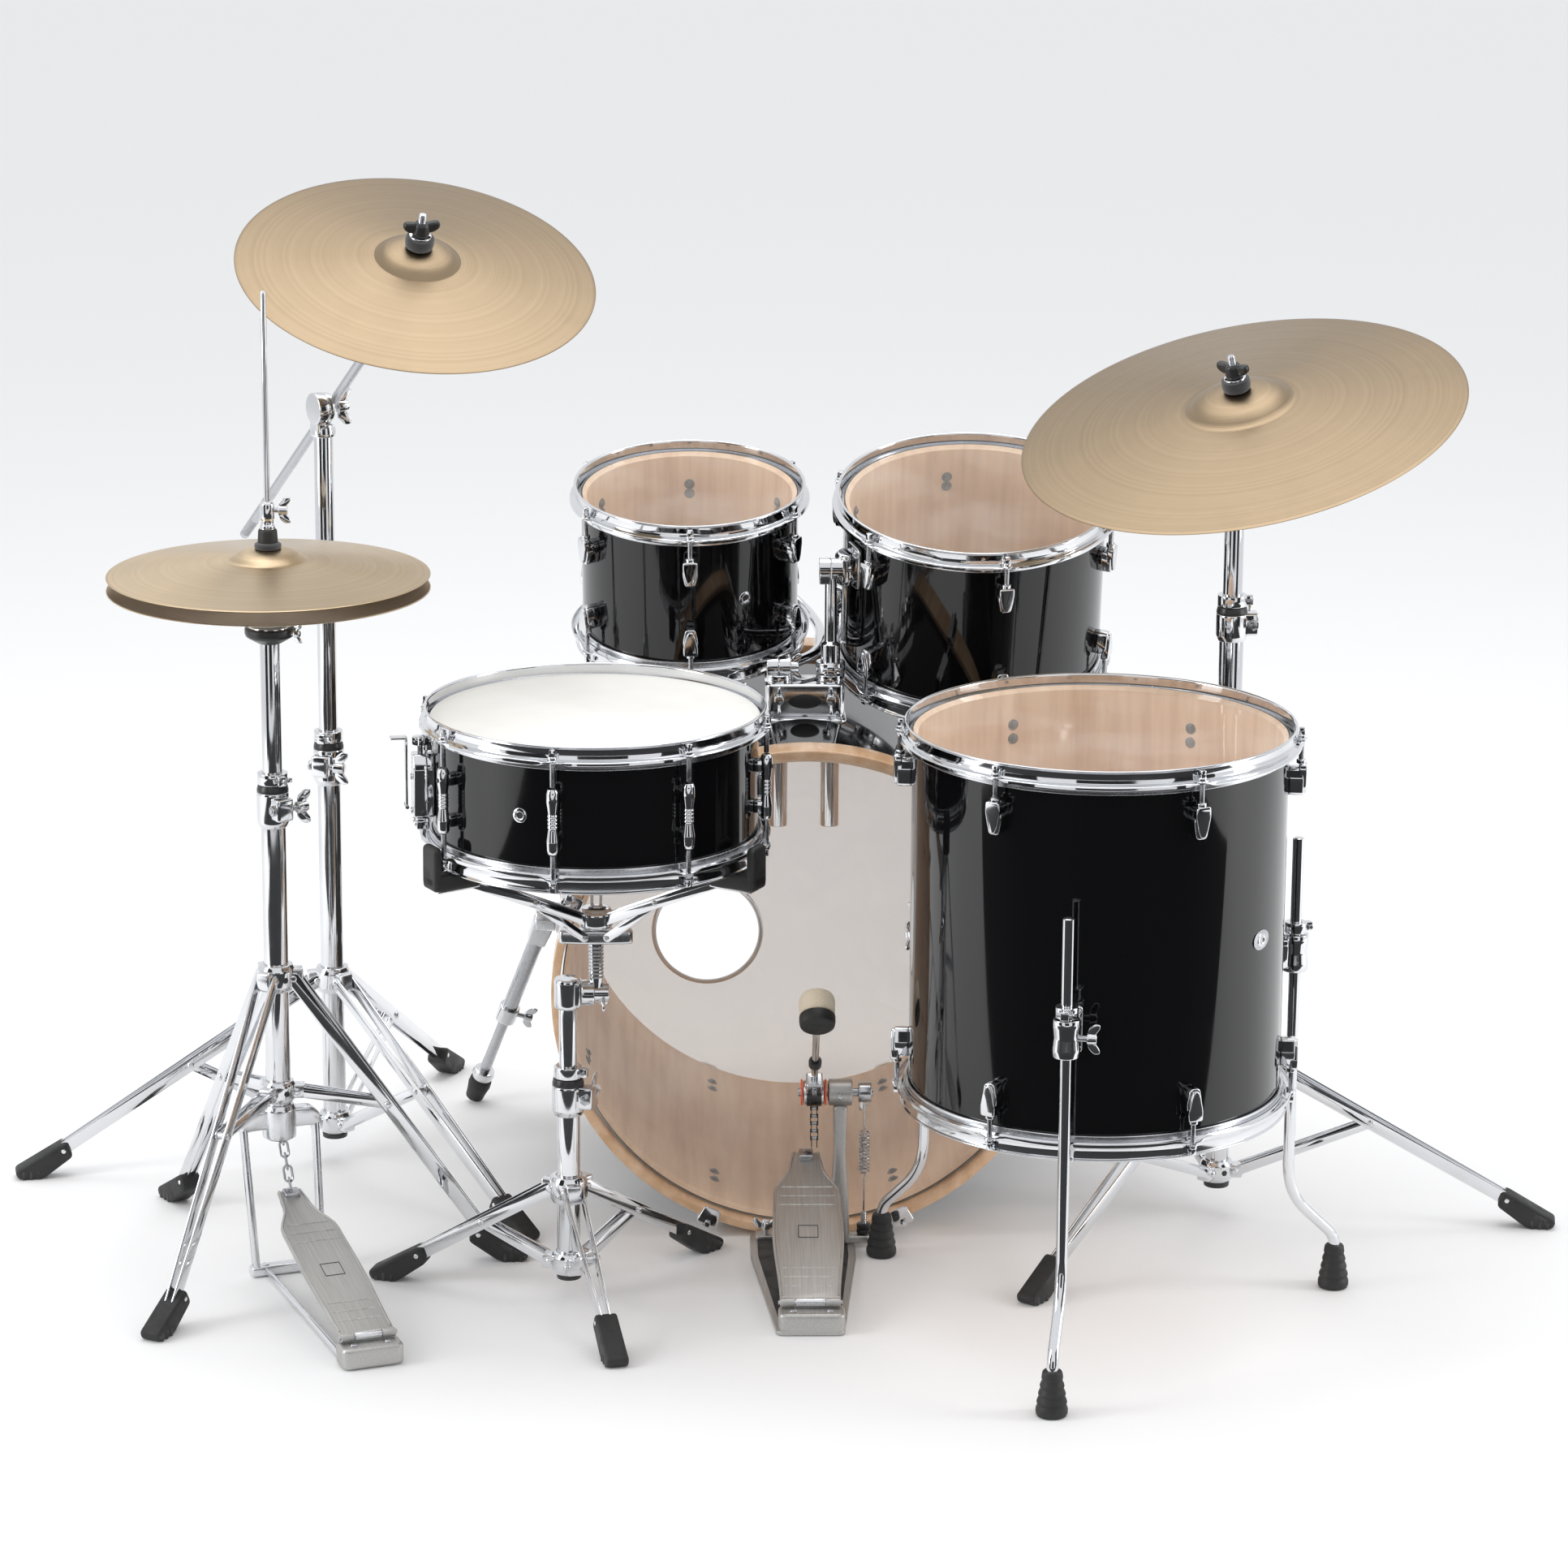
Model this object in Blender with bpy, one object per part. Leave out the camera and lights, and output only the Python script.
"""Five-drum acoustic kit with hi-hat, crash and ride, in metres, +Z up, standing on Z = 0.

Each drum, stand and pedal is a chain of frames (empties). A frame that moves sits on its joint's axis.
Angles round an upright axis are measured from -Y (the player's side) towards +X.
"""

from math import asin, atan2, cos, pi, radians, sin, sqrt

import bmesh
import bpy
from mathutils import Matrix, Vector

# ---- overall sizes -------------------------------------------------------------------------
INCH = 0.0254
BASS_R = 11 * INCH
BASS_DEPTH = 18 * INCH
SMALL_TOM_R = 5 * INCH
SMALL_TOM_DEPTH = 7 * INCH
LARGE_TOM_R = 6 * INCH
LARGE_TOM_DEPTH = 8 * INCH
FLOOR_TOM_R = 8 * INCH
FLOOR_TOM_DEPTH = 16 * INCH
SNARE_R = 7 * INCH
SNARE_DEPTH = 5.5 * INCH
HIHAT_R = 7 * INCH
CRASH_R = 8 * INCH
RIDE_R = 10 * INCH

# ---- clearances ----------------------------------------------------------------------------
GAP = 0.0003
SLIDE_FIT = 0.0004
HOLE_FIT = 0.0016

# ---- drum parts ----------------------------------------------------------------------------
WALL = 0.0065
FILM = 0.0006
SKIRT = 0.002
FLESH_Z = (-0.010, -0.016)
FLESH_WIDE = 0.0065
HOOP_IN = 0.004
HOOP_FLANGE = 0.0165
HOOP_RISE = 0.0115
HOOP_STEEL = 0.0025
LUG_OUT = 0.021
LUG_HALF = 0.009
ROUND_SMALL = 24
ROUND_LARGE = 28
ROUND_BASS = 32
ROUND_TUBE = 10

# ---- bass drum -----------------------------------------------------------------------------
BASS_WALL = 0.0075
BASS_HOOP_REAR = 0.020
BASS_HOOP_WIDE = 0.038
BASS_HOOP_WOOD = 0.010
BASS_HOOP_IN = BASS_R + 0.0020
BASS_HOOP_OUT = BASS_HOOP_IN + BASS_HOOP_WOOD
BASS_LIFT = radians(1.2)
PORT_R = 2.5 * INCH
PORT_AT = (-0.110, 0.076)
SPUR_BACK = 0.0972
SPUR_PIVOT = Vector((0.306, BASS_DEPTH - SPUR_BACK, 0.27))
SPUR_AIM = Vector((0.305, 0.373, -0.876)).normalized()
SPUR_TUBE_LONG = 0.17
SPUR_TUBE_R = 0.0095
SPUR_BORE = 0.0070
SPUR_FOOT_R = 0.011
BOSS_GAP_X = 0.2937

# ---- tom holder ----------------------------------------------------------------------------
HOLDER_Y = 0.18
POST_X = 0.030
POST_R = 0.0111
POST_LOW = 0.437
HOLDER_TOP = 0.612
KNUCKLE_R = 0.0115
MOUNT_HALF = 0.013
MOUNT_GAP = 0.0008
KNUCKLE_LONG = 0.014
ARM_R = 0.0063
SMALL_TILT_Z = 0.6275
LARGE_TILT_Z = 0.745
SMALL_TOM_AT = Vector((-0.133, 0.300, 0.820))
SMALL_TOM_UP = Vector((-0.006, -0.173, 0.985))
LARGE_TOM_AT = Vector((0.1987, 0.240, 0.8221))
LARGE_TOM_UP = Vector((0.008, -0.239, 0.971))

# ---- floor tom -----------------------------------------------------------------------------
FLOOR_TOM_AT = Vector((0.308, -0.280, 0.683))
LEG_ANGLES = (-11.7, 108.3, 228.3)
LEG_R = 0.00635
LEG_OUT = 0.035
LEG_FOOT_R = 0.298
LEG_BRACKET_Z = 0.400

# ---- snare drum and its stand --------------------------------------------------------------
SNARE_STAND_AT = Vector((-0.269, -0.212, 0.0))
SNARE_STAND_TURN = 0.245
SNARE_AT = Vector((-0.2374, -0.212, 0.6842))
SNARE_TILT_Z = 0.355
SNARE_TUBE_R = 0.0100
STRAINER_ANGLE = -80.5

# ---- cymbal stands and hi-hat --------------------------------------------------------------
HIHAT_AT = Vector((-0.597, -0.105, 0.0))
HIHAT_TURN = -0.477
HIHAT_PEDAL_TURN = radians(20.4)
HIHAT_TOP_Z = 0.832
HIHAT_OPEN = 0.0135
HIHAT_HEIGHT = 0.029
HIHAT_ROD_R = 0.0032
CRASH_STAND_AT = Vector((-0.557, 0.252, 0.0))
CRASH_TURN = 0.692
CRASH_BOOM_Z = 0.917
CRASH_AT = Vector((-0.436, 0.080, 1.134))
CRASH_UP = Vector((0.132, -0.366, 0.922)).normalized()
RIDE_STAND_AT = Vector((0.482, 0.063, 0.0))
RIDE_TURN = -0.666
RIDE_TILT_Z = 0.9294
RIDE_UP = Vector((-0.218, -0.241, 0.947)).normalized()
BOOM_SIDE = 0.009
BOOM_TAIL = 0.29
BOOM_R = 0.0058
UPPER_TUBE_R = 0.0111
TUBE_WALL = 0.0024
UPPER_WALL = 0.0018
STEM_LONG = 0.055
STEM_SIDE = 0.006
CYMBAL_THICK = 0.0014
CYMBAL_HOLE = 0.0062

# ---- bass pedal ----------------------------------------------------------------------------
PEDAL_X = 0.008
AXLE_Y = -0.050
AXLE_Z = 0.185
AXLE_R = 0.005
BEATER_LEAN = radians(41)
BEATER_LONG = 0.170
BEATER_R = 0.0205
PEDAL_HEEL = Vector((-0.0015, -0.315, 0.030))
PEDAL_SLOPE = radians(19.6)
HEEL_KNUCKLE_R = 0.005
BOARD_THICK = 0.005
PLATE_THICK = 0.005

# Puts the middle of the kit's footprint on the origin.
ORIGIN_SHIFT = Vector((0.0305, -0.0129, 0.0))

CHROME = ((0.80, 0.81, 0.83), 0.12, 1.0)
BLACK_GLOSS = ((0.012, 0.012, 0.014), 0.08, 0.0)
MAPLE = ((0.72, 0.47, 0.29), 0.35, 0.0)
CLEAR_FILM = ((0.80, 0.70, 0.62), 0.15, 0.0)
WHITE_FILM = ((0.86, 0.86, 0.85), 0.45, 0.0)
BRONZE = ((0.60, 0.45, 0.24), 0.32, 1.0)
CAST_GREY = ((0.52, 0.52, 0.51), 0.38, 1.0)
STEEL = ((0.55, 0.56, 0.58), 0.25, 1.0)

X = Vector((1, 0, 0))
Z = Vector((0, 0, 1))
WORLD = {}
EMPTIES = {}


# ---- shapes: each is (points, faces) of one closed surface -----------------------------------
def around(angle, radius, z=0.0):
    """The point at this angle (degrees, from -Y towards +X), radius and height."""
    turn = radians(angle)
    return Vector((radius * sin(turn), -radius * cos(turn), z))


def turn_z(angle):
    return Matrix.Rotation(radians(angle), 4, "Z")


def between_rings(a, b):
    count = max(len(a), len(b))
    nexts = [(i, (i + 1) % count) for i in range(count)]
    if len(a) == 1:
        return [(a[0], b[i], b[j]) for i, j in nexts]
    if len(b) == 1:
        return [(a[i], b[0], a[j]) for i, j in nexts]
    return [(a[i], b[i], b[j], a[j]) for i, j in nexts]


def lathe(profile, sides):
    """The profile of (radius, z) turned about Z: a ring, or a solid where it starts and ends on the axis."""
    points = []
    rings = []
    for radius, z in profile:
        start = len(points)
        if radius == 0:
            points.append(Vector((0, 0, z)))
        else:
            points += [around(360 * i / sides, radius, z) for i in range(sides)]
        rings.append(range(start, len(points)))
    closing = [] if profile[0][0] == 0 else [(rings[-1], rings[0])]
    faces = []
    for a, b in list(zip(rings, rings[1:])) + closing:
        faces += between_rings(a, b)
    return points, faces


def sweep(path, radius, sides=8):
    """A round bar along the points of the path, bent at each."""
    path = [Vector(p) for p in path]
    steps = [(b - a).normalized() for a, b in zip(path, path[1:])]
    tangents = [steps[0]] + [(a + b).normalized() for a, b in zip(steps, steps[1:])] + [steps[-1]]
    side = tangents[0].orthogonal().normalized()
    points = []
    for at, tangent in zip(path, tangents):
        side = (side - tangent * side.dot(tangent)).normalized()
        across = tangent.cross(side)
        for i in range(sides):
            turn = 2 * pi * i / sides
            points.append(at + radius * (cos(turn) * side + sin(turn) * across))
    rings = [range(i * sides, (i + 1) * sides) for i in range(len(path))]
    faces = [tuple(rings[0]), tuple(rings[-1])]
    for a, b in zip(rings, rings[1:]):
        faces += between_rings(a, b)
    return points, faces


def prism(outline, low, high):
    """The flat outline of (x, y) given a thickness along Z."""
    count = len(outline)
    points = [Vector((x, y, low)) for x, y in outline] + [Vector((x, y, high)) for x, y in outline]
    bottom = range(count)
    top = range(count, 2 * count)
    return points, [tuple(bottom), tuple(top)] + between_rings(bottom, top)


def block(x, y, z):
    """A box from its three (low, high) pairs."""
    return prism([(x[0], y[0]), (x[1], y[0]), (x[1], y[1]), (x[0], y[1])], *z)


def placed(shape, matrix):
    return [matrix @ p for p in shape[0]], shape[1]


def aimed(start, end, hint=X):
    """A matrix with its origin at start and its Z towards end; its X lies near the hint."""
    along = (Vector(end) - Vector(start)).normalized()
    side = (hint - along * hint.dot(along)).normalized()
    across = along.cross(side)
    matrix = Matrix((side, across, along)).transposed().to_4x4()
    matrix.translation = Vector(start)
    return matrix


def distance(start, end):
    return (Vector(end) - Vector(start)).length


def lying(start, end):
    """The same turn about its own length for every round bar that lies this way, so nested ones match."""
    upright = abs((Vector(end) - Vector(start)).normalized().x) < 0.9
    return aimed(start, end, X if upright else Z)


def rod(start, end, radius, sides=ROUND_TUBE):
    long = distance(start, end)
    return placed(lathe([(0, 0), (radius, 0), (radius, long), (0, long)], sides), lying(start, end))


def pipe(start, end, outer, bore, sides=ROUND_TUBE):
    long = distance(start, end)
    ring = lathe([(bore, 0), (outer, 0), (outer, long), (bore, long)], sides)
    return placed(ring, lying(start, end))


def turning_bore(radius, fit):
    """The bore whose flats clear a round bar of this radius at any turn."""
    return (radius + fit) / cos(pi / ROUND_TUBE)


def ring_z(low, high, outer, bore, sides=ROUND_TUBE):
    return lathe([(bore, low), (outer, low), (outer, high), (bore, high)], sides)


def strip(start, end, wide, thick, hint=X):
    """A flat bar from start to end, its width along the hint."""
    long = distance(start, end)
    return placed(block((-wide / 2, wide / 2), (-thick / 2, thick / 2), (0, long)), aimed(start, end, hint))


# ---- objects and frames ----------------------------------------------------------------------
def clear_scene():
    for found in list(bpy.data.objects):
        bpy.data.objects.remove(found)


def add_frame(name, parent, matrix):
    """An empty at this place in the kit's own frame."""
    empty = bpy.data.objects.new(name, None)
    empty.empty_display_size = 0.03
    bpy.context.scene.collection.objects.link(empty)
    WORLD[name] = matrix
    EMPTIES[name] = empty
    if parent is None:
        empty.matrix_basis = matrix
    else:
        empty.parent = EMPTIES[parent]
        empty.matrix_basis = WORLD[parent].inverted() @ matrix
    return matrix


def at(point):
    return Matrix.Translation(Vector(point))


def mesh_of(name, shape):
    form = bmesh.new()
    points = [form.verts.new(p) for p in shape[0]]
    for face in shape[1]:
        form.faces.new([points[i] for i in face])
    bmesh.ops.recalc_face_normals(form, faces=form.faces)
    mesh = bpy.data.meshes.new(name)
    form.to_mesh(mesh)
    form.free()
    return mesh


def add_boolean(body, shapes, operation):
    tools = bpy.data.collections.new(body.name + "_" + operation)
    bpy.context.scene.collection.children.link(tools)
    for number, shape in enumerate(shapes):
        name = f"{body.name}_{operation}_{number}"
        tools.objects.link(bpy.data.objects.new(name, mesh_of(name, shape)))
    modifier = body.modifiers.new(operation, "BOOLEAN")
    modifier.operation = operation
    modifier.operand_type = "COLLECTION"
    modifier.collection = tools
    modifier.solver = "EXACT"
    return tools


def bake(body):
    """Keeps the result of the Booleans as the object's own mesh."""
    graph = bpy.context.evaluated_depsgraph_get()
    result = bpy.data.meshes.new_from_object(body.evaluated_get(graph))
    body.modifiers.clear()
    body.data = result
    form = bmesh.new()
    form.from_mesh(result)
    bmesh.ops.remove_doubles(form, verts=form.verts, dist=1e-6)
    bmesh.ops.dissolve_limit(form, angle_limit=radians(0.05), verts=form.verts, edges=form.edges)
    form.to_mesh(result)
    form.free()


def remove_tools(tools):
    for tool in list(tools.objects):
        bpy.data.objects.remove(tool)
    bpy.data.collections.remove(tools)


def finish(body, look):
    colour, rough, metal = look
    material = bpy.data.materials.new(body.name)
    material.use_nodes = True
    shader = material.node_tree.nodes["Principled BSDF"]
    shader.inputs["Base Color"].default_value = (*colour, 1)
    shader.inputs["Roughness"].default_value = rough
    shader.inputs["Metallic"].default_value = metal
    body.data.materials.clear()
    body.data.materials.append(material)
    body.data.shade_smooth()
    body.data.set_sharp_from_angle(angle=radians(40))


def add_part(name, frame, look, shapes, cuts=()):
    """One closed body in this frame: the shapes joined, less the cuts."""
    body = bpy.data.objects.new(name, mesh_of(name, shapes[0]))
    bpy.context.scene.collection.objects.link(body)
    tools = []
    if len(shapes) > 1:
        tools.append(add_boolean(body, shapes[1:], "UNION"))
    if cuts:
        tools.append(add_boolean(body, cuts, "DIFFERENCE"))
    if tools:
        bake(body)
    for group in tools:
        remove_tools(group)
    body.parent = EMPTIES[frame]
    finish(body, look)


def in_frame(frame, shapes):
    """Shapes given in the kit's frame, put into this one's."""
    inverse = WORLD[frame].inverted()
    return [placed(shape, inverse) for shape in shapes]


# ---- drums -----------------------------------------------------------------------------------
def head_profile(radius):
    """A film with its skirt and the ring that the hoop pulls down."""
    high, low = FLESH_Z
    return [
        (0, FILM),
        (radius + SKIRT, FILM),
        (radius + SKIRT, high),
        (radius + FLESH_WIDE, high),
        (radius + FLESH_WIDE, low),
        (radius + GAP, low),
        (radius + GAP, 0),
        (0, 0),
    ]


def hoop_profile(radius):
    low = FLESH_Z[0] + GAP
    return [
        (radius + HOOP_IN, low),
        (radius + HOOP_FLANGE, low),
        (radius + HOOP_FLANGE, low + HOOP_STEEL),
        (radius + HOOP_IN + HOOP_STEEL, low + HOOP_STEEL),
        (radius + HOOP_IN + 2.6 * HOOP_STEEL, HOOP_RISE),
        (radius + HOOP_IN, HOOP_RISE),
    ]


def flipped(profile, depth):
    return [(r, -depth - z) for r, z in profile]


def lug(radius, sides, angle, top, bottom):
    """A tapered casting on the shell, its root inside the wall."""
    inner = radius * cos(pi / sides) - 0.002
    slope = 0.22 * (top - bottom)
    outer = radius + LUG_OUT
    side_view = [(inner, bottom), (outer, bottom + slope), (outer, top - slope), (inner, top)]
    casting = prism(side_view, -LUG_HALF, LUG_HALF)
    lay = Matrix(((0, 0, 1, 0), (-1, 0, 0, 0), (0, 1, 0, 0), (0, 0, 0, 1)))
    return placed(casting, turn_z(angle) @ lay)


def lugs(radius, sides, depth, angles, near, far):
    """A casting near each end of the shell at each angle."""
    found = []
    for angle in angles:
        found.append(lug(radius, sides, angle, -near, -far))
        found.append(lug(radius, sides, angle, -depth + far, -depth + near))
    return found


def add_drum(name, frame, radius, depth, sides, looks, extras=(), cuts=()):
    shell = ring_z(-depth + GAP, -GAP, radius, radius - WALL, sides)
    add_part(name + "_shell", frame, BLACK_GLOSS, [shell, *extras], cuts)
    hoop = hoop_profile(radius)
    head = head_profile(radius)
    add_part(name + "_batter_hoop", frame, CHROME, [lathe(hoop, sides)])
    add_part(name + "_batter_head", frame, looks[0], [lathe(head, sides)])
    add_part(name + "_bottom_hoop", frame, CHROME, [lathe(flipped(hoop, depth), sides)])
    add_part(name + "_bottom_head", frame, looks[1], [lathe(flipped(head, depth), sides)])


def drum_frame(rim, up):
    """Origin in the batter head's plane, Z along the drum, and -Y towards the player."""
    up = up.normalized()
    return aimed(rim - HOOP_RISE * up, rim, X)


# ---- bass drum -------------------------------------------------------------------------------
def bass_matrix():
    """Z runs from the batter head to the front head; the drum tips up about its rear hoop's lowest edge."""
    edge = at((0, -BASS_HOOP_REAR, 0))
    lay = Matrix.Rotation(-pi / 2, 4, "X")
    return edge @ Matrix.Rotation(BASS_LIFT, 4, "X") @ at((0, BASS_HOOP_REAR, BASS_HOOP_OUT)) @ lay


def bass_end(z, way):
    """Hoop and head profiles at the shell end z; way is -1 for the batter end and 1 for the front end."""
    collar = z - way * (BASS_HOOP_WIDE - BASS_HOOP_REAR)
    edge = z + way * BASS_HOOP_REAR
    flesh = collar - way * 0.008
    hoop = [
        (BASS_HOOP_IN, edge),
        (BASS_HOOP_OUT, edge),
        (BASS_HOOP_OUT, collar),
        (BASS_HOOP_IN, collar),
    ]
    lip = collar - way * GAP
    skirt = BASS_HOOP_IN - 2 * GAP
    head = [
        (0, z + way * FILM),
        (skirt, z + way * FILM),
        (skirt, lip),
        (BASS_R + FLESH_WIDE, lip),
        (BASS_R + FLESH_WIDE, flesh),
        (BASS_R + GAP, flesh),
        (BASS_R + GAP, z),
        (0, z),
    ]
    return hoop, head


def bass_extras():
    """The lugs, and a round boss on each side for the spur."""
    found = []
    for angle in [22.5 + 45 * i for i in range(8)]:
        found.append(lug(BASS_R, ROUND_BASS, angle, 0.095, 0.050))
        found.append(lug(BASS_R, ROUND_BASS, angle, BASS_DEPTH - 0.050, BASS_DEPTH - 0.095))
    bosses = []
    for side in (-1, 1):
        start = Vector((side * (BASS_R - 0.004), SPUR_PIVOT.y, SPUR_PIVOT.z))
        bosses.append(rod(start, (side * BOSS_GAP_X, SPUR_PIVOT.y, SPUR_PIVOT.z), 0.019))
    return found + in_frame("bass_drum", bosses)


def post_holes(radius):
    return [rod((x, HOLDER_Y, 0.40), (x, HOLDER_Y, 0.70), radius) for x in (-POST_X, POST_X)]


def add_bass_drum():
    add_frame("bass_drum", "kit", bass_matrix())
    shell = ring_z(GAP, BASS_DEPTH - GAP, BASS_R, BASS_R - BASS_WALL, ROUND_BASS)
    holes = in_frame("bass_drum", post_holes(turning_bore(POST_R, HOLE_FIT)))
    add_part("bass_shell", "bass_drum", BLACK_GLOSS, [shell, *bass_extras()], holes)
    rear_hoop, rear_head = bass_end(0, -1)
    front_hoop, front_head = bass_end(BASS_DEPTH, 1)
    add_part("bass_batter_hoop", "bass_drum", MAPLE, [lathe(rear_hoop, ROUND_BASS)])
    add_part("bass_batter_head", "bass_drum", CLEAR_FILM, [lathe(rear_head, ROUND_BASS)])
    add_part("bass_front_hoop", "bass_drum", MAPLE, [lathe(front_hoop, ROUND_BASS)])
    port = rod((*PORT_AT, BASS_DEPTH - 0.02), (*PORT_AT, BASS_DEPTH + 0.02), PORT_R, 20)
    add_part("bass_front_head", "bass_drum", WHITE_FILM, [lathe(front_head, ROUND_BASS)], [port])


def add_spur(side, word):
    mirror = Vector((side, 1, 1))
    pivot = SPUR_PIVOT * mirror
    aim = SPUR_AIM * mirror
    fold = add_frame(word + "_spur_fold", "kit", at(pivot))
    end = aim * SPUR_TUBE_LONG
    knuckle = rod((side * (BOSS_GAP_X + GAP - SPUR_PIVOT.x), 0, 0), (side * 0.013, 0, 0), 0.017)
    tube = pipe(aim * 0.010, end, SPUR_TUBE_R, SPUR_BORE)
    collar = pipe(end - aim * 0.022, end - aim * 0.0005, 0.0130, (SPUR_TUBE_R + SPUR_BORE) / 2)
    bore = rod(aim * 0.022, end + aim * 0.01, SPUR_BORE)
    add_part(word + "_spur_arm", word + "_spur_fold", CHROME, [knuckle, tube, collar], [bore])
    slope = sqrt(1 - aim.z**2)
    tip = (SPUR_PIVOT.z - SPUR_FOOT_R * slope) / -aim.z
    add_frame(word + "_spur_slide", word + "_spur_fold", fold @ aimed((0, 0, 0), aim))
    leg = lathe(
        [
            (0, 0.085),
            (SPUR_BORE - SLIDE_FIT, 0.085),
            (SPUR_BORE - SLIDE_FIT, tip - 0.030),
            (0.0135, tip - 0.030),
            (SPUR_FOOT_R, tip),
            (0, tip),
        ],
        ROUND_TUBE,
    )
    add_part(word + "_spur_leg", word + "_spur_slide", CHROME, [leg])


# ---- tom holder and hanging toms ---------------------------------------------------------------
def add_tom_bracket():
    top = block((-0.046, 0.046), (HOLDER_Y - 0.025, HOLDER_Y + 0.025), (0.560, HOLDER_TOP))
    flange = block((-0.048, 0.048), (HOLDER_Y - 0.040, HOLDER_Y + 0.034), (0.560, 0.582))
    ends = (-0.1, BASS_DEPTH + 0.1)
    over = BASS_R + GAP
    barrel = lathe([(0, ends[0]), (over, ends[0]), (over, ends[1]), (0, ends[1])], ROUND_BASS)
    under = placed(barrel, WORLD["bass_drum"])
    holes = post_holes(turning_bore(POST_R, SLIDE_FIT))
    add_part("tom_holder_bracket", "kit", CHROME, [top, flange], [under, *holes])


def knuckle_pair(side):
    """The fixed and the moving half of a tilter on an X axis; side is where the moving half lies."""
    fixed = rod((-side * KNUCKLE_LONG, 0, 0), (-side * GAP, 0, 0), KNUCKLE_R)
    moving = rod((0, 0, 0), (side * KNUCKLE_LONG, 0, 0), KNUCKLE_R)
    return fixed, moving


def mount_block(frame, radius, end):
    """The mount's pad between the arm's end and the shell, just clear of the shell."""
    local = WORLD[frame].inverted() @ Vector(end)
    out = local.xy.length + 0.010
    pad = block((-MOUNT_HALF, MOUNT_HALF), (-out, -radius - MOUNT_GAP), (local.z - 0.020, local.z + 0.020))
    turned = Matrix.Rotation(atan2(local.x, -local.y), 4, "Z")
    return placed(pad, WORLD[frame] @ turned)


def add_post(word, x, tilt_z, neck_z, neck_r):
    name = word + "_tom_post"
    add_frame(word + "_tom_swivel", "kit", at((x, HOLDER_Y, tilt_z)))
    fixed, _ = knuckle_pair(1)
    low = POST_LOW - tilt_z
    neck = neck_z - tilt_z
    top = -KNUCKLE_R - 0.0006
    thick_part = [(0, low), (POST_R, low), (POST_R, neck)]
    spindle = lathe([*thick_part, (neck_r, neck), (neck_r, top), (0, top)], ROUND_TUBE)
    web = block((-KNUCKLE_LONG + 0.001, -GAP - 0.001), (-0.006, 0.006), (top - 0.0022, 0.0))
    add_part(name, word + "_tom_swivel", CHROME, [spindle, web, fixed])


def add_hanging_tom(word, x, tilt_z, path, place, size, phase):
    rim, up = place
    radius, depth = size
    add_frame(word + "_tom_tilt", word + "_tom_swivel", at((x, HOLDER_Y, tilt_z)))
    frame = word + "_tom"
    add_frame(frame, word + "_tom_tilt", drum_frame(rim, up))
    _, moving = knuckle_pair(1)
    start = (x + KNUCKLE_LONG / 2, HOLDER_Y, tilt_z)
    arm = sweep([start, *path], ARM_R)
    pad = mount_block(frame, radius, path[-1])
    moving = placed(moving, WORLD[word + "_tom_tilt"])
    add_part(word + "_tom_arm", word + "_tom_tilt", CHROME, in_frame(word + "_tom_tilt", [moving, arm, pad]))
    angles = [phase + 60 * i for i in range(6)]
    castings = lugs(radius, ROUND_SMALL, depth, angles, 0.030, 0.062)
    add_drum(frame, frame, radius, depth, ROUND_SMALL, (CLEAR_FILM, CLEAR_FILM), castings)


def add_hanging_toms():
    add_post("small", -POST_X, SMALL_TILT_Z, 0.606, 0.0098)
    small_path = [
        (0.018, 0.240, 0.629),
        (0.023, 0.345, 0.632),
        (0.010, 0.408, 0.638),
        (-0.025, 0.450, 0.662),
        (-0.025, 0.450, 0.735),
    ]
    small_place = (SMALL_TOM_AT, SMALL_TOM_UP)
    small_size = (SMALL_TOM_R, SMALL_TOM_DEPTH)
    add_hanging_tom("small", -POST_X, SMALL_TILT_Z, small_path, small_place, small_size, 0)
    add_post("large", POST_X, LARGE_TILT_Z, 0.655, 0.0070)
    large_path = [(0.047, 0.187, 0.744)]
    large_place = (LARGE_TOM_AT, LARGE_TOM_UP)
    large_size = (LARGE_TOM_R, LARGE_TOM_DEPTH)
    add_hanging_tom("large", POST_X, LARGE_TILT_Z, large_path, large_place, large_size, 10)


# ---- floor tom -------------------------------------------------------------------------------
def leg_bracket(angle):
    """A block on the shell with a round guide for the leg."""
    centre = FLOOR_TOM_R + LEG_OUT
    z = LEG_BRACKET_Z - WORLD["floor_tom"].translation.z
    root = FLOOR_TOM_R * cos(pi / ROUND_LARGE) - 0.002
    base = block((-0.013, 0.013), (-centre + 0.011, -root), (z - 0.026, z + 0.026))
    guide = placed(ring_z(z - 0.021, z + 0.021, 0.0145, LEG_R + SLIDE_FIT), at((0, -centre, 0)))
    return [placed(base, turn_z(angle)), placed(guide, turn_z(angle))]


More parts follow.
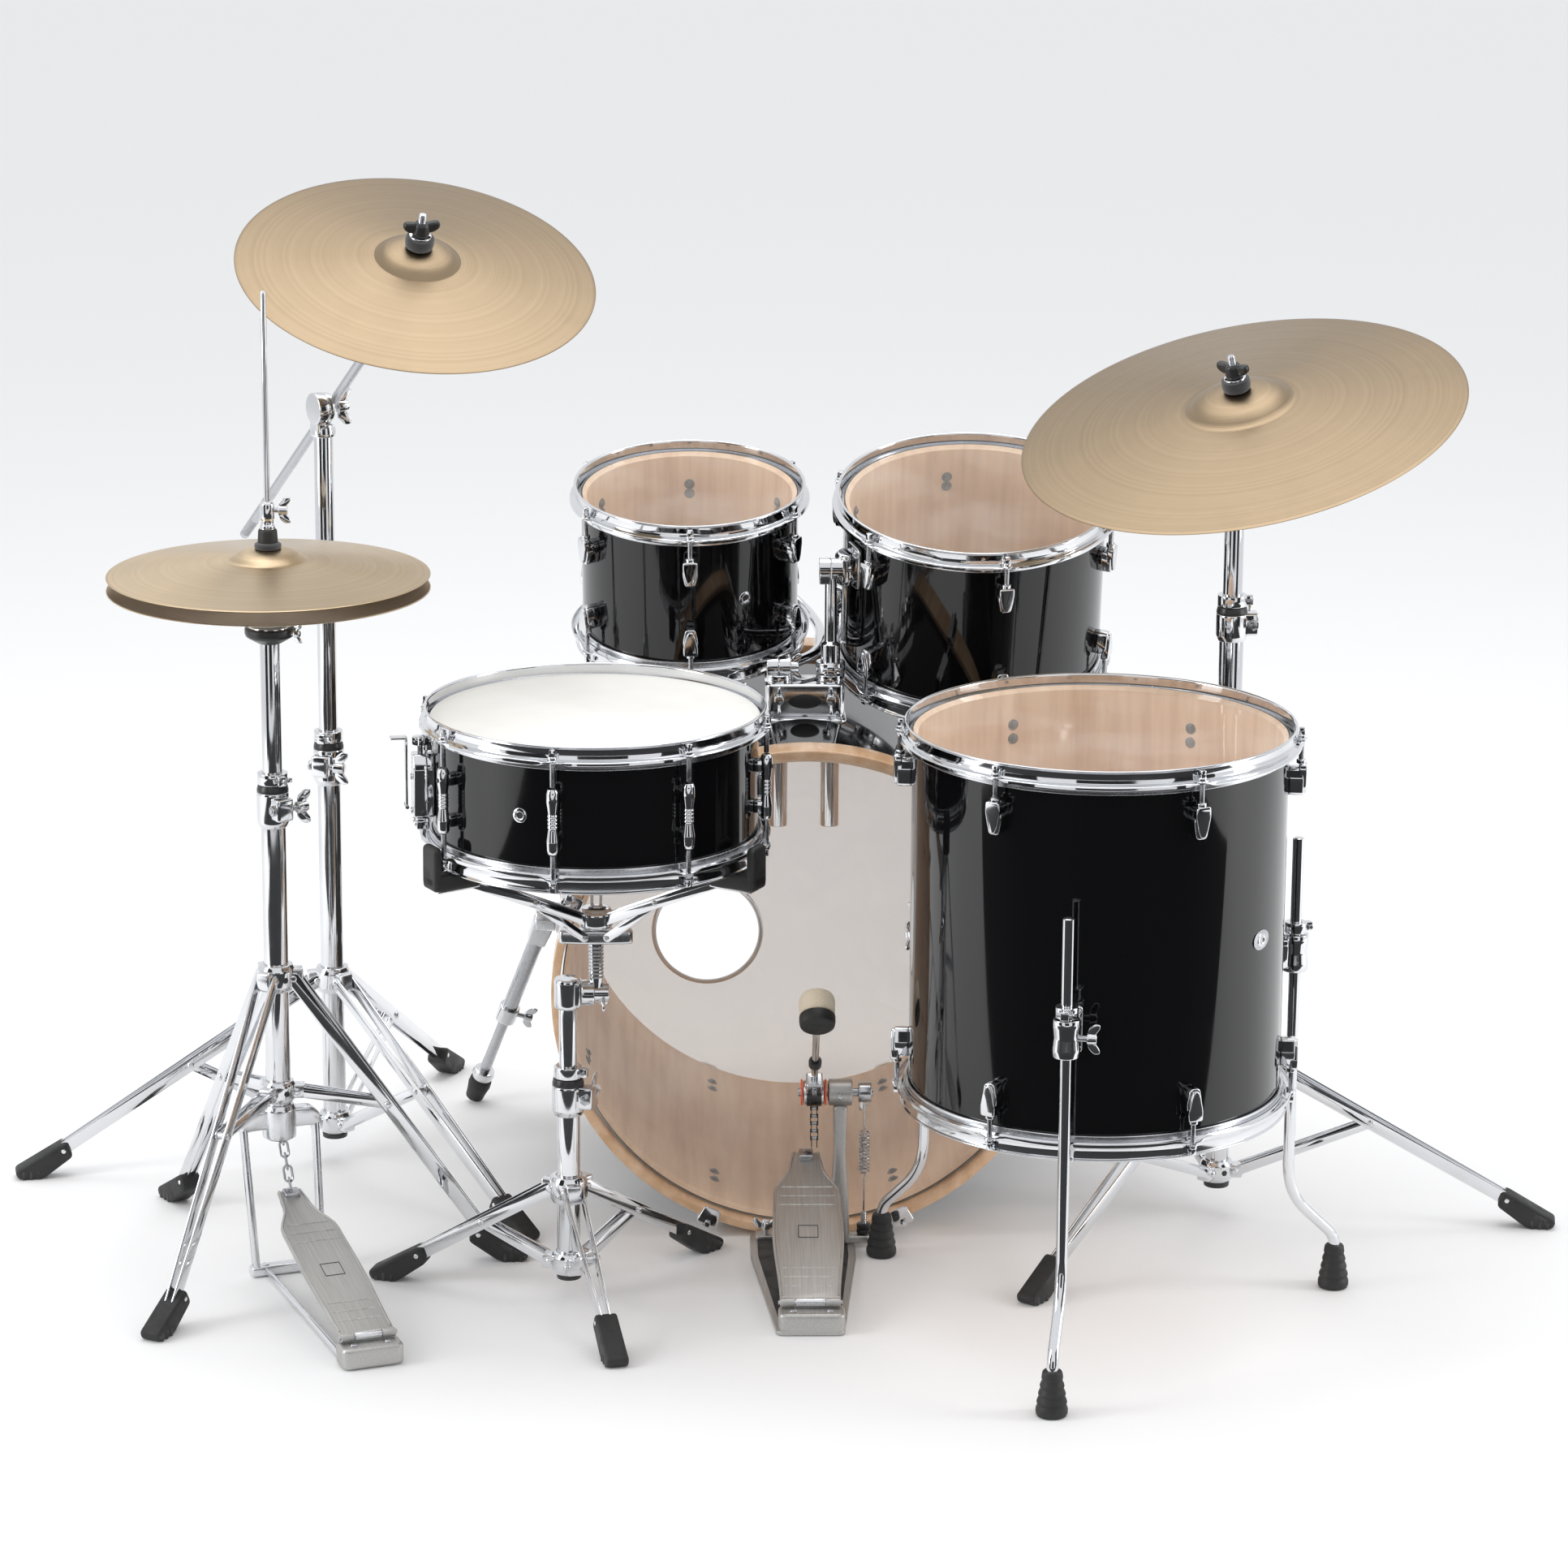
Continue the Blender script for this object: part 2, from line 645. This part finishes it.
def add_floor_tom():
    frame = add_frame("floor_tom", "kit", drum_frame(FLOOR_TOM_AT, Z))
    castings = lugs(FLOOR_TOM_R, ROUND_LARGE, FLOOR_TOM_DEPTH, [25 + 60 * i for i in range(6)], 0.030, 0.066)
    for angle in LEG_ANGLES:
        castings += leg_bracket(angle)
    films = (CLEAR_FILM, CLEAR_FILM)
    add_drum("floor_tom", "floor_tom", FLOOR_TOM_R, FLOOR_TOM_DEPTH, ROUND_LARGE, films, castings)
    centre = FLOOR_TOM_R + LEG_OUT
    for number, angle in enumerate(LEG_ANGLES, 1):
        name = f"floor_tom_leg_{number}"
        turned = at((*frame.translation.xy, 0)) @ turn_z(angle)
        add_frame(name + "_slide", "kit", turned @ at((0, -centre, 0)))
        out = LEG_FOOT_R - centre
        bar = sweep([(0, 0, 0.530), (0, 0, 0.118), (0, -out, 0.060), (0, -out, 0.020)], LEG_R, ROUND_TUBE)
        foot = lathe([(0, 0), (0.0165, 0), (0.0175, 0.008), (0.0105, 0.050), (0, 0.050)], ROUND_TUBE)
        add_part(name, name + "_slide", CHROME, [bar, placed(foot, at((0, -out, 0)))])


# ---- stands ----------------------------------------------------------------------------------
def foot_block(reach):
    outline = [
        (reach - 0.050, 0.026),
        (reach - 0.014, 0.0),
        (reach + 0.016, 0.0),
        (reach + 0.020, 0.010),
        (reach - 0.040, 0.044),
    ]
    lay = Matrix(((0, 0, 1, 0), (-1, 0, 0, 0), (0, 1, 0, 0), (0, 0, 0, 1)))
    return placed(prism(outline, -0.013, 0.013), lay)


def leg_shapes(reach, collar_z, hub_z):
    """One leg towards -Y: a pair of flat bars that close up at the foot, and the brace from the hub."""
    found = [foot_block(reach)]
    top = Vector((0, -0.019, collar_z))
    end = Vector((0, -(reach - 0.026), 0.026))
    for side in (-1, 1):
        found.append(strip(top + side * 0.011 * X, end + side * 0.004 * X, 0.003, 0.016))
    middle = top.lerp(end, 0.48)
    found.append(strip((0, -0.017, hub_z), middle, 0.020, 0.004))
    return found


def tripod(reach, collar_z, hub_z, tube_low, tube_top, clamp, bore):
    """Base tube with its collars and three legs; the bore stays open for the tube that slides in it."""
    outer = bore + TUBE_WALL
    seat = bore + TUBE_WALL / 2
    found = [ring_z(tube_low, tube_top, outer, bore)]
    found.append(ring_z(collar_z - 0.016, collar_z + 0.016, 0.0215, seat))
    found.append(ring_z(hub_z - 0.013, hub_z + 0.013, 0.0200, seat))
    found.append(ring_z(clamp, tube_top - 0.0006, 0.0185, seat))
    for number in range(3):
        for shape in leg_shapes(reach, collar_z, hub_z):
            found.append(placed(shape, turn_z(120 * number)))
    return found


def wing(z, angle, start=0.016, long=0.026):
    """A clamp screw standing out of a collar."""
    return placed(rod((0, -start, z), (0, -start - long, z), 0.005, 8), turn_z(angle))


def cymbal_profile(radius, height, thick):
    """Both faces of a cymbal, from the edge of its hole at z = 0 down to its rim."""
    cup = 0.24 * radius
    cup_low = -0.42 * height
    crown = [(CYMBAL_HOLE, 0), (0.36 * cup, -0.04 * height), (0.76 * cup, -0.24 * height)]
    top = [*crown, (cup, cup_low), (radius, -height)]
    return top + [(r, z - thick) for r, z in reversed(top)]


def stem(felt, nut):
    """A tilter's rod with the felts below and above the cymbal, and the nut."""
    low = STEM_LONG - CYMBAL_THICK - 0.0012
    high = STEM_LONG + GAP
    return lathe(
        [
            (0, 0),
            (0.0045, 0),
            (0.0045, low - 0.012),
            (felt, low - 0.012),
            (felt * 0.8, low),
            (0.0045, low),
            (0.0045, high),
            (felt, high),
            (felt, high + 0.018),
            (0.0110, high + 0.018),
            (0.0110, high + nut),
            (0, high + nut),
        ],
        ROUND_TUBE,
    )


def tilt_matrix(point, up):
    """X on the tilter's axis, Z along the cymbal's own axis."""
    side = Vector((-up.y, up.x, 0)).normalized()
    matrix = Matrix((side, up.cross(side), up)).transposed().to_4x4()
    matrix.translation = point
    return matrix


def tilter_half(side):
    return rod((side * GAP / 2, 0, 0), (side * 0.012, 0, 0), 0.0125)


def add_tilter_and_cymbal(word, parent, tilt, radius, height, up):
    add_frame(word + "_tilt", parent, tilt)
    shaft = placed(stem(0.0165, 0.038), at((STEM_SIDE, 0, 0)))
    add_part(word + "_tilter", word + "_tilt", CHROME, [tilter_half(1), shaft])
    centre = tilt @ Vector((STEM_SIDE, 0, STEM_LONG))
    add_frame(word + "_spin", word + "_tilt", aimed(centre, centre + up))
    disc = lathe(cymbal_profile(radius, height, CYMBAL_THICK), ROUND_LARGE)
    add_part(word + "_cymbal", word + "_spin", BRONZE, [disc])


def boom_matrix(point, end):
    """X on the boom clamp's axis, turned so that a boom beside the stand's axis meets the end point; Z up."""
    away = end - point
    turn = atan2(away.y, away.x) - asin(BOOM_SIDE / away.xy.length)
    return at(point) @ Matrix.Rotation(turn + pi / 2, 4, "Z")


def add_crash():
    stand = add_frame("crash_stand", "kit", at(CRASH_STAND_AT) @ Matrix.Rotation(CRASH_TURN, 4, "Z"))
    bore = UPPER_TUBE_R + SLIDE_FIT
    base = tripod(
        reach=0.362, collar_z=0.228, hub_z=0.050,
        tube_low=0.030, tube_top=0.519, clamp=0.4675, bore=bore,
    )
    add_part("crash_stand_base", "crash_stand", CHROME, [*base, wing(0.494, -60)])
    tilt = tilt_matrix(CRASH_AT, CRASH_UP)
    tilt.translation = tilt @ Vector((-STEM_SIDE, 0, -STEM_LONG))
    end = tilt @ Vector((-STEM_SIDE, 0, 0))
    pivot = Vector((*CRASH_STAND_AT.xy, CRASH_BOOM_Z))
    boom = boom_matrix(pivot, end)
    add_frame("crash_height", "kit", stand)
    upper = ring_z(0.330, 0.894, UPPER_TUBE_R, UPPER_TUBE_R - UPPER_WALL)
    cap = rod((0, 0, 0.886), (0, 0, 0.897), UPPER_TUBE_R + 0.003)
    disc = placed(rod((-0.013, 0, 0), (-GAP, 0, 0), 0.019), stand.inverted() @ boom)
    neck = placed(block((-0.013, -GAP - 0.001), (-0.010, 0.010), (-0.028, 0.0)), stand.inverted() @ boom)
    add_part("crash_upper_tube", "crash_height", CHROME, [upper, cap, disc, neck])
    add_frame("crash_boom_tilt", "crash_height", boom)
    reach = boom.inverted() @ end
    low = Vector((BOOM_SIDE, 0, 0)) - (reach - Vector((BOOM_SIDE, 0, 0))).normalized() * BOOM_TAIL
    half = placed(tilter_half(-1), boom.inverted() @ tilt)
    bar = rod(low, reach, BOOM_R)
    clamp = rod((0, 0, 0), (2 * BOOM_SIDE, 0, 0), 0.018)
    add_part("crash_boom", "crash_boom_tilt", CHROME, [clamp, bar, half])
    add_tilter_and_cymbal("crash", "crash_boom_tilt", tilt, CRASH_R, 0.034, CRASH_UP)


def add_ride():
    stand = add_frame("ride_stand", "kit", at(RIDE_STAND_AT) @ Matrix.Rotation(RIDE_TURN, 4, "Z"))
    bore = UPPER_TUBE_R + SLIDE_FIT
    base = tripod(
        reach=0.375, collar_z=0.205, hub_z=0.053,
        tube_low=0.033, tube_top=0.728, clamp=0.688, bore=bore,
    )
    add_part("ride_stand_base", "ride_stand", CHROME, [*base, wing(0.708, 130)])
    add_frame("ride_height", "kit", stand)
    tilt = tilt_matrix(Vector((*RIDE_STAND_AT.xy, RIDE_TILT_Z)), RIDE_UP)
    tilt.translation = tilt @ Vector((STEM_SIDE, 0, 0))
    upper = ring_z(0.500, 0.902, UPPER_TUBE_R, UPPER_TUBE_R - UPPER_WALL)
    cap = rod((0, 0, 0.893), (0, 0, 0.912), UPPER_TUBE_R + 0.003)
    knuckle = placed(tilter_half(-1), stand.inverted() @ tilt)
    neck = rod((0, 0, 0.900), (0, 0, RIDE_TILT_Z - 0.004), 0.0050)
    add_part("ride_upper_tube", "ride_height", CHROME, [upper, cap, knuckle, neck])
    add_tilter_and_cymbal("ride", "ride_height", tilt, RIDE_R, 0.042, RIDE_UP)


# ---- snare drum ------------------------------------------------------------------------------
def add_snare_stand():
    add_frame("snare_stand", "kit", at(SNARE_STAND_AT) @ Matrix.Rotation(SNARE_STAND_TURN, 4, "Z"))
    bore = SNARE_TUBE_R + SLIDE_FIT
    base = tripod(
        reach=0.214, collar_z=0.128, hub_z=0.041,
        tube_low=0.022, tube_top=0.257, clamp=0.214, bore=bore,
    )
    add_part("snare_stand_base", "snare_stand", CHROME, [*base, wing(0.236, 60)])
    add_frame("snare_height", "kit", at(SNARE_STAND_AT))
    tube = ring_z(0.150, 0.345, SNARE_TUBE_R, SNARE_TUBE_R - UPPER_WALL)
    tube = placed(tube, Matrix.Rotation(SNARE_STAND_TURN, 4, "Z"))
    low, high = SNARE_TILT_Z - 0.017, SNARE_TILT_Z + 0.017
    cap = rod((0, 0, low), (0, 0, high), 0.0150)
    ear = block((0.0, 0.0155), (-0.0125, 0.0125), (low + 0.001, high - 0.001))
    add_part("snare_upper_tube", "snare_height", CHROME, [tube, cap, ear])


def basket_arm(angle):
    """A flat arm with its rubber-faced grip under and outside the bottom hoop."""
    rest = SNARE_AT.z - HOOP_RISE - SNARE_DEPTH - HOOP_RISE - GAP - SNARE_TILT_Z
    outside = SNARE_R + HOOP_FLANGE + 0.0015
    hub = 0.087
    arm = strip((0, -0.014, hub), (0, -0.158, rest - 0.014), 0.018, 0.004)
    pad = block((-0.016, 0.016), (-outside - 0.011, -0.148), (rest - 0.019, rest))
    lip = block((-0.016, 0.016), (-outside - 0.011, -outside), (rest - 0.010, rest + 0.032))
    return [placed(shape, turn_z(angle)) for shape in (arm, pad, lip)]


def add_basket():
    frame = at((SNARE_STAND_AT.x, SNARE_STAND_AT.y, SNARE_TILT_Z))
    add_frame("snare_tilt", "snare_height", frame)
    off = SNARE_AT.x - SNARE_STAND_AT.x
    pivot = rod((0.0155 + GAP, 0, 0), (0.046, 0, 0), 0.0150)
    stalk = rod((off, 0, 0), (off, 0, 0.084), 0.0080)
    handle = block((off - 0.041, off + 0.041), (-0.008, 0.008), (0.057, 0.073))
    hub = block((off - 0.020, off + 0.020), (-0.017, 0.017), (0.076, 0.098))
    arms = []
    for angle in (-60, 60, 180):
        arms += [placed(shape, at((off, 0, 0))) for shape in basket_arm(angle)]
    add_part("snare_basket", "snare_tilt", CHROME, [pivot, stalk, handle, hub, *arms])


def strainer_body():
    """The throw-off's housing on the shell."""
    root = SNARE_R * cos(pi / ROUND_SMALL) - 0.002
    body = block((-0.014, 0.014), (-SNARE_R - 0.024, -root), (-0.105, -0.035))
    return placed(body, turn_z(STRAINER_ANGLE))


def add_snare():
    frame = add_frame("snare", "snare_tilt", drum_frame(SNARE_AT, Z))
    castings = [lug(SNARE_R, ROUND_SMALL, -13 + 45 * i, -0.034, -0.106) for i in range(8)]
    butt = block((-0.014, 0.014), (-SNARE_R - 0.012, -SNARE_R + 0.004), (-0.100, -0.070))
    butt = placed(butt, turn_z(STRAINER_ANGLE + 180))
    extras = [*castings, strainer_body(), butt]
    add_drum("snare", "snare", SNARE_R, SNARE_DEPTH, ROUND_SMALL, (WHITE_FILM, CLEAR_FILM), extras)
    pivot = frame @ turn_z(STRAINER_ANGLE) @ at((0, -SNARE_R - 0.0295, -0.094))
    add_frame("snare_throwoff", "snare", pivot)
    lever = block((-0.006, 0.006), (-0.0014, 0.0014), (-0.003, 0.078))
    tab = block((-0.006, 0.006), (-0.018, 0.0014), (0.075, 0.078))
    add_part("snare_throwoff_lever", "snare_throwoff", CHROME, [lever, tab])


# ---- hi-hat ----------------------------------------------------------------------------------
def footboard(long, widths):
    """A cast board along +Y from its knuckle at the origin; widths are (share of the length, half width)."""
    right = [(half, share * long) for share, half in widths]
    left = [(-half, share * long) for share, half in reversed(widths)]
    board = prism(right + left, -BOARD_THICK / 2, BOARD_THICK / 2)
    half = widths[0][1]
    return [board, rod((-half, 0, 0), (half, 0, 0), HEEL_KNUCKLE_R)]


def yoke_shapes(heel_y):
    """The frame under the hi-hat: two uprights, the floor bar, two rods and the heel block."""
    found = []
    for side in (-1, 1):
        found.append(block(sorted((side * 0.016, side * 0.046)), (-0.008, 0.008), (0.166, 0.180)))
        found.append(strip((side * 0.042, 0, 0.176), (side * 0.038, -0.030, 0.004), 0.006, 0.014))
        found.append(rod((side * 0.028, -0.030, 0.007), (side * 0.028, heel_y, 0.007), 0.0035, 8))
    found.append(block((-0.046, 0.046), (-0.038, -0.022), (0, 0.012)))
    heel_top = PEDAL_HEEL.z - HEEL_KNUCKLE_R - GAP
    found.append(block((-0.035, 0.035), (heel_y - 0.024, heel_y + 0.010), (0, heel_top)))
    return found


def add_hihat_base():
    stand = add_frame("hihat_stand", "kit", at(HIHAT_AT) @ Matrix.Rotation(HIHAT_TURN, 4, "Z"))
    bore = UPPER_TUBE_R + SLIDE_FIT
    base = tripod(
        reach=0.261, collar_z=0.341, hub_z=0.207,
        tube_low=0.150, tube_top=0.5645, clamp=0.5155, bore=bore,
    )
    crown = ring_z(0.152, 0.192, 0.0190, bore + TUBE_WALL / 2)
    line = add_frame("hihat_pedal_line", "kit", at(HIHAT_AT) @ Matrix.Rotation(HIHAT_PEDAL_TURN, 4, "Z"))
    yoke = [placed(shape, stand.inverted() @ line) for shape in yoke_shapes(-0.327)]
    add_part("hihat_stand_base", "hihat_stand", CHROME, [*base, crown, wing(0.540, 60), *yoke])


def add_hihat_pedal():
    line = WORLD["hihat_pedal_line"]
    slope = radians(13.0)
    hinge = line @ at((0, -0.327, PEDAL_HEEL.z)) @ Matrix.Rotation(slope, 4, "X")
    add_frame("hihat_pedal_hinge", "kit", hinge)
    widths = [(0, 0.031), (0.45, 0.034), (0.72, 0.033), (0.90, 0.017), (1.0, 0.014)]
    add_part("hihat_footboard", "hihat_pedal_hinge", CAST_GREY, footboard(0.300, widths))


def add_hihat_column():
    stand = WORLD["hihat_stand"]
    add_frame("hihat_height", "kit", stand)
    seat = HIHAT_TOP_Z - HIHAT_HEIGHT - CYMBAL_THICK - HIHAT_OPEN - CYMBAL_THICK - HIHAT_HEIGHT
    bore = 0.0088
    column = lathe(
        [
            (bore, 0.330),
            (UPPER_TUBE_R, 0.330),
            (UPPER_TUBE_R, seat - 0.030),
            (0.0275, seat - 0.022),
            (0.0275, seat - 0.013),
            (0.0130, seat - 0.009),
            (0.0130, seat - GAP),
            (bore, seat - GAP),
        ],
        ROUND_TUBE,
    )
    add_part("hihat_upper_tube", "hihat_height", CHROME, [column])
    add_frame("hihat_bottom_spin", "hihat_height", at((HIHAT_AT.x, HIHAT_AT.y, seat)))
    profile = [(r, -z) for r, z in cymbal_profile(HIHAT_R, HIHAT_HEIGHT, CYMBAL_THICK)]
    add_part("hihat_bottom_cymbal", "hihat_bottom_spin", BRONZE, [lathe(profile, ROUND_LARGE)])


def add_hihat_pull():
    bell = at((HIHAT_AT.x, HIHAT_AT.y, HIHAT_TOP_Z))
    add_frame("hihat_pull", "kit", bell)
    nut = -CYMBAL_THICK - 0.0012
    pull = lathe(
        [
            (0, -0.662),
            (HIHAT_ROD_R, -0.662),
            (HIHAT_ROD_R, nut - 0.015),
            (0.0100, nut - 0.015),
            (0.0100, nut),
            (0.0048, nut),
            (0.0048, GAP),
            (0.0150, GAP),
            (0.0150, 0.012),
            (0.0080, 0.012),
            (0.0080, 0.0525),
            (HIHAT_ROD_R, 0.0525),
            (HIHAT_ROD_R, 0.286),
            (0, 0.286),
        ],
        ROUND_TUBE,
    )
    add_part("hihat_pull_rod", "hihat_pull", STEEL, [pull])
    add_frame("hihat_top_spin", "hihat_pull", bell)
    profile = cymbal_profile(HIHAT_R, HIHAT_HEIGHT, CYMBAL_THICK)
    add_part("hihat_top_cymbal", "hihat_top_spin", BRONZE, [lathe(profile, ROUND_LARGE)])


# ---- bass pedal ------------------------------------------------------------------------------
def add_pedal_base():
    add_frame("bass_pedal", "kit", Matrix.Identity(4))
    rear = -0.340
    front = -BASS_HOOP_REAR - 0.0012
    right_side = [(0.036, rear), (0.056, -0.10), (0.056, front)]
    left_side = [(-0.064, front), (-0.064, -0.10), (-0.039, rear)]
    plate = prism(right_side + left_side, 0, PLATE_THICK)
    heel_top = PEDAL_HEEL.z - HEEL_KNUCKLE_R - GAP
    heel = block((-0.039, 0.036), (rear, -0.304), (0, heel_top))
    post = block((0.026, 0.050), (AXLE_Y - 0.012, AXLE_Y + 0.012), (0.002, AXLE_Z - 0.011))
    guide = pipe((0.024, AXLE_Y, AXLE_Z), (0.052, AXLE_Y, AXLE_Z), 0.0155, turning_bore(AXLE_R, SLIDE_FIT))
    foot = block((0.040, 0.072), (AXLE_Y - 0.009, AXLE_Y + 0.009), (0.002, 0.014))
    anchor = rod((0.066, AXLE_Y, 0.010), (0.066, AXLE_Y, 0.042), 0.0035, 8)
    add_part("bass_pedal_base", "bass_pedal", CAST_GREY, [plate, heel, post, guide, foot, anchor])


def add_pedal_board():
    hinge = at(PEDAL_HEEL) @ Matrix.Rotation(PEDAL_SLOPE, 4, "X")
    add_frame("bass_pedal_hinge", "kit", hinge)
    widths = [(0, 0.0335), (0.45, 0.040), (0.72, 0.038), (0.90, 0.020), (1.0, 0.016)]
    add_part("bass_footboard", "bass_pedal_hinge", CAST_GREY, footboard(0.262, widths))


def add_beater():
    add_frame("bass_beater", "kit", at((0, AXLE_Y, AXLE_Z)) @ Matrix.Rotation(BEATER_LEAN, 4, "X"))
    axle = rod((PEDAL_X - 0.018, 0, 0), (0.076, 0, 0), AXLE_R)
    hub = rod((PEDAL_X - 0.016, 0, 0), (PEDAL_X + 0.012, 0, 0), 0.0150)
    rocker = rod((0.058, 0, 0), (0.074, 0, 0), 0.0120)
    shaft = rod((PEDAL_X, 0, 0), (PEDAL_X, 0, BEATER_LONG), 0.0042, 10)
    head = rod((PEDAL_X, -0.018, BEATER_LONG), (PEDAL_X, 0.026, BEATER_LONG), BEATER_R, 16)
    add_part("beater", "bass_beater", STEEL, [axle, hub, rocker, shaft, head])


def add_pedal_spring():
    low, start, end, high = 0.0425, 0.086, 0.140, AXLE_Z - 0.0125
    turns, per_turn, radius = 6, 6, 0.0055
    path = [(0, 0, low), (0, 0, start - 0.004)]
    count = turns * per_turn
    for i in range(count + 1):
        share = i / count
        turn = 2 * pi * turns * share
        path.append((radius * cos(turn), radius * sin(turn), start + (end - start) * share))
    path += [(0, 0, end + 0.004), (0, 0, high)]
    add_frame("bass_pedal_spring", "bass_pedal", at((0.066, AXLE_Y, 0)))
    add_part("pedal_spring", "bass_pedal_spring", STEEL, [sweep(path, 0.0010, 4)])


def build():
    clear_scene()
    add_frame("kit", None, Matrix.Identity(4))
    EMPTIES["kit"].location = ORIGIN_SHIFT
    add_bass_drum()
    add_spur(-1, "left")
    add_spur(1, "right")
    add_tom_bracket()
    add_hanging_toms()
    add_floor_tom()
    add_snare_stand()
    add_basket()
    add_snare()
    add_hihat_base()
    add_hihat_pedal()
    add_hihat_column()
    add_hihat_pull()
    add_crash()
    add_ride()
    add_pedal_base()
    add_pedal_board()
    add_beater()
    add_pedal_spring()


build()
